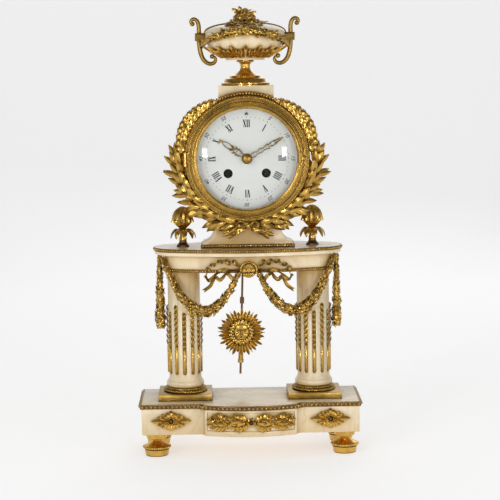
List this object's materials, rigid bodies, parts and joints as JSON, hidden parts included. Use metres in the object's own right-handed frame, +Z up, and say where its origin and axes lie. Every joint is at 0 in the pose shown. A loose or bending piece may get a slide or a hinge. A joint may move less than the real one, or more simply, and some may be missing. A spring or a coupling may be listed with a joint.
{
  "type": "portico mantel clock",
  "caption": "Portico mantel clock of pale marble and gilt bronze: fluted columns carry a drum with an enamel dial under an urn, and a sunburst pendulum swings between them.",
  "frame": {"origin": "on the floor under the middle of the whole clock", "axes": "+X to the right seen from the front, +Y to the back, +Z up"},
  "size_m": [0.2424, 0.1124, 0.4874],
  "materials": {
    "marble": "polished",
    "gilt_bronze": "fire-gilt, satin",
    "dark_bronze": "dark patina",
    "brass": "brushed",
    "steel": "satin",
    "enamel": "gloss",
    "glass": "clear"
  },
  "bodies": {
    "case": {"base_block": "marble", "base_bead_moulding": "gilt_bronze", "base_panel_mount": "gilt_bronze", "base_rosettes": "gilt_bronze", "mount_pins": "steel", "toupie_feet": "gilt_bronze", "column_left": "marble", "column_right": "marble", "column_plinths": "gilt_bronze", "flute_inserts": "gilt_bronze", "tie_rods": "steel", "entablature": "marble", "entablature_bead_ring": "gilt_bronze", "rope_mouldings": "gilt_bronze", "swags": "gilt_bronze", "frieze_rosette": "gilt_bronze", "frieze_ribbons": "gilt_bronze", "finials": "gilt_bronze", "finial_feet": "dark_bronze", "drum_support": "marble", "drum_case": "brass", "bezel_frame": "gilt_bronze", "crest_garland": "gilt_bronze", "laurel_branches": "gilt_bronze", "wreath_bow": "gilt_bronze", "dial": "enamel", "front_plate": "brass", "back_plate": "brass", "plate_pillars": "brass", "back_cock": "brass", "bell": "brass", "bell_stand": "steel", "rear_ring": "gilt_bronze", "hinge_pins": "steel", "urn_pedestal": "marble", "urn_foot": "gilt_bronze", "urn_bowl": "marble", "urn_lid": "marble", "urn_acanthus": "gilt_bronze", "urn_handles": "gilt_bronze", "urn_garland": "gilt_bronze", "urn_bouquet": "gilt_bronze"},
    "bezel": {"bezel_door": "gilt_bronze", "bezel_glass": "glass"},
    "back_door": {"rear_door": "gilt_bronze"},
    "minute_motion": {"minute_hand": "gilt_bronze", "centre_arbor": "brass"},
    "hour_motion": {"hour_hand": "gilt_bronze", "hour_wheel": "brass"},
    "minute_wheel_motion": {"minute_wheel": "brass"},
    "going_barrel_motion": {"going_barrel": "brass"},
    "intermediate_motion": {"intermediate_wheel": "brass"},
    "third_motion": {"third_wheel": "brass"},
    "escape_motion": {"escape_wheel": "brass"},
    "anchor_motion": {"anchor": "steel"},
    "strike_barrel_motion": {"strike_barrel": "brass"},
    "hammer_motion": {"hammer": "steel"},
    "pendulum": {"pendulum_rod": "steel", "pendulum_bob": "gilt_bronze"},
    "nut": {"rating_nut": "gilt_bronze"}
  },
  "joints": [
    {"name": "bezel_hinge", "type": "hinge", "parent": "case", "child": "bezel", "pos_m": [-0.0668, -0.0286, 0.325], "axis": [0, 0, 1], "range_deg": [-95, 0]},
    {"name": "back_door_hinge", "type": "hinge", "parent": "case", "child": "back_door", "pos_m": [-0.059, 0.053, 0.325], "axis": [0, 0, 1], "range_deg": [0, 100]},
    {"name": "minute_hand_turn", "type": "hinge", "parent": "case", "child": "minute_motion", "pos_m": [0, 0, 0.325], "axis": [0, 1, 0], "continuous": true},
    {"name": "hour_hand_turn", "type": "hinge", "parent": "case", "child": "hour_motion", "pos_m": [0, 0, 0.325], "axis": [0, 1, 0], "continuous": true},
    {"name": "minute_wheel_turn", "type": "hinge", "parent": "case", "child": "minute_wheel_motion", "pos_m": [0.007, 0, 0.33712], "axis": [0, 1, 0], "continuous": true},
    {"name": "going_barrel_turn", "type": "hinge", "parent": "case", "child": "going_barrel_motion", "pos_m": [0.0207, 0, 0.309], "axis": [0, 1, 0], "continuous": true},
    {"name": "intermediate_turn", "type": "hinge", "parent": "case", "child": "intermediate_motion", "pos_m": [0.021, 0, 0.332], "axis": [0, 1, 0], "continuous": true},
    {"name": "third_turn", "type": "hinge", "parent": "case", "child": "third_motion", "pos_m": [-0.00845, 0, 0.33964], "axis": [0, 1, 0], "continuous": true},
    {"name": "escape_turn", "type": "hinge", "parent": "case", "child": "escape_motion", "pos_m": [0, 0, 0.34862], "axis": [0, 1, 0], "continuous": true},
    {"name": "strike_barrel_turn", "type": "hinge", "parent": "case", "child": "strike_barrel_motion", "pos_m": [-0.0207, 0, 0.309], "axis": [0, 1, 0], "continuous": true},
    {"name": "hammer_swing", "type": "hinge", "parent": "case", "child": "hammer_motion", "pos_m": [-0.03, 0, 0.313], "axis": [0, 1, 0], "range_deg": [-18, 0]},
    {"name": "pendulum_swing", "type": "hinge", "parent": "case", "child": "pendulum", "pos_m": [0, 0, 0.363], "axis": [0, 1, 0], "range_deg": [-6, 2]},
    {"name": "anchor_rock", "type": "hinge", "parent": "case", "child": "anchor_motion", "pos_m": [0, 0, 0.363], "axis": [0, 1, 0], "range_deg": [-6, 2]},
    {"name": "rating_nut_turn", "type": "hinge", "parent": "pendulum", "child": "nut", "pos_m": [0, 0.0305, 0.363], "axis": [0.0349, 0, 0.9994], "continuous": true}
  ],
  "couplings": [
    {"joint": "hour_hand_turn", "follows": "minute_hand_turn", "ratio": 0.083333},
    {"joint": "minute_wheel_turn", "follows": "minute_hand_turn", "ratio": -0.33333},
    {"joint": "intermediate_turn", "follows": "minute_hand_turn", "ratio": -0.125},
    {"joint": "going_barrel_turn", "follows": "minute_hand_turn", "ratio": 0.020833},
    {"joint": "third_turn", "follows": "minute_hand_turn", "ratio": -11.143},
    {"joint": "escape_turn", "follows": "minute_hand_turn", "ratio": 122.57},
    {"joint": "anchor_rock", "follows": "pendulum_swing", "ratio": 1}
  ]
}
